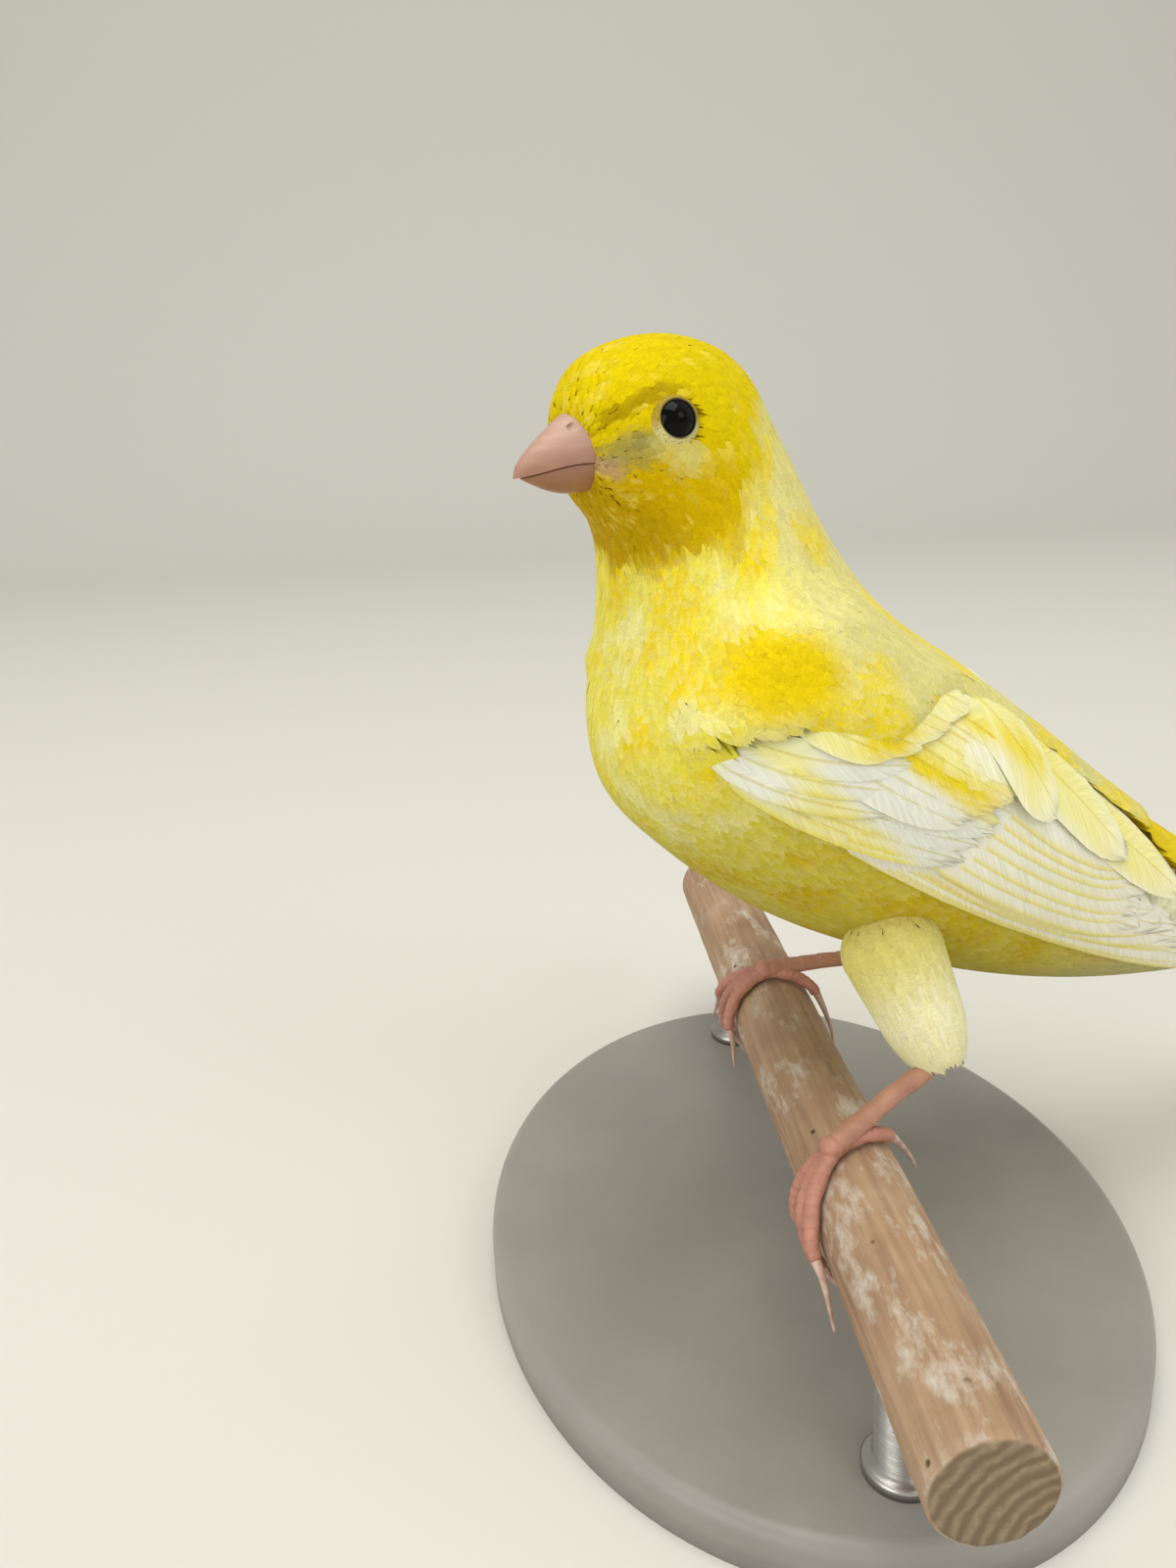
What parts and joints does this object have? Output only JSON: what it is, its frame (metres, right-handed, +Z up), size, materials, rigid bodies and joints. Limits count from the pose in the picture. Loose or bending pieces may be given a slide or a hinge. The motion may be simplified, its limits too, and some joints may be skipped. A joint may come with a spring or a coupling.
{
  "type": "canary on a perch",
  "caption": "Yellow canary gripping a round wooden perch, head turned to its left, wings folded, on an oval display stand with short rods.",
  "frame": {"origin": "centre of the oval stand's underside, on the surface that it stands on", "axes": "+Z up; Y along the perch; the bird faces -X, its body turned 15 degrees and its head 33 degrees towards -Y"},
  "size_m": [0.1193, 0.112, 0.1003],
  "materials": {
    "feathers": "soft body feathers, saturated yellow on the head, pale lemon with white edges on the back and breast",
    "flight_feathers": "cream-white vanes with yellow edges and a low sheen",
    "eye": "wet black",
    "bill": "pinkish horn, smooth with a soft sheen",
    "leg_skin": "pinkish orange scaled skin",
    "perch_wood": "worn tan wood with pale smears and small dark specks",
    "stand_paint": "satin warm grey paint",
    "stand_steel": "satin steel"
  },
  "bodies": {
    "root": {"head": "feathers", "neck": "feathers", "torso": "feathers", "thigh_left": "feathers", "thigh_right": "feathers", "wing_left": "flight_feathers", "wing_right": "flight_feathers", "tail": "flight_feathers", "eye_left": "eye", "eye_right": "eye", "bill_upper": "bill", "bill_lower": "bill", "tarsus_left": "leg_skin", "tarsus_right": "leg_skin", "foot_left": "leg_skin", "foot_right": "leg_skin", "perch": "perch_wood", "stand_base": "stand_paint", "stand_rod_front": "stand_steel", "stand_rod_back": "stand_steel"}
  },
  "joints": []
}
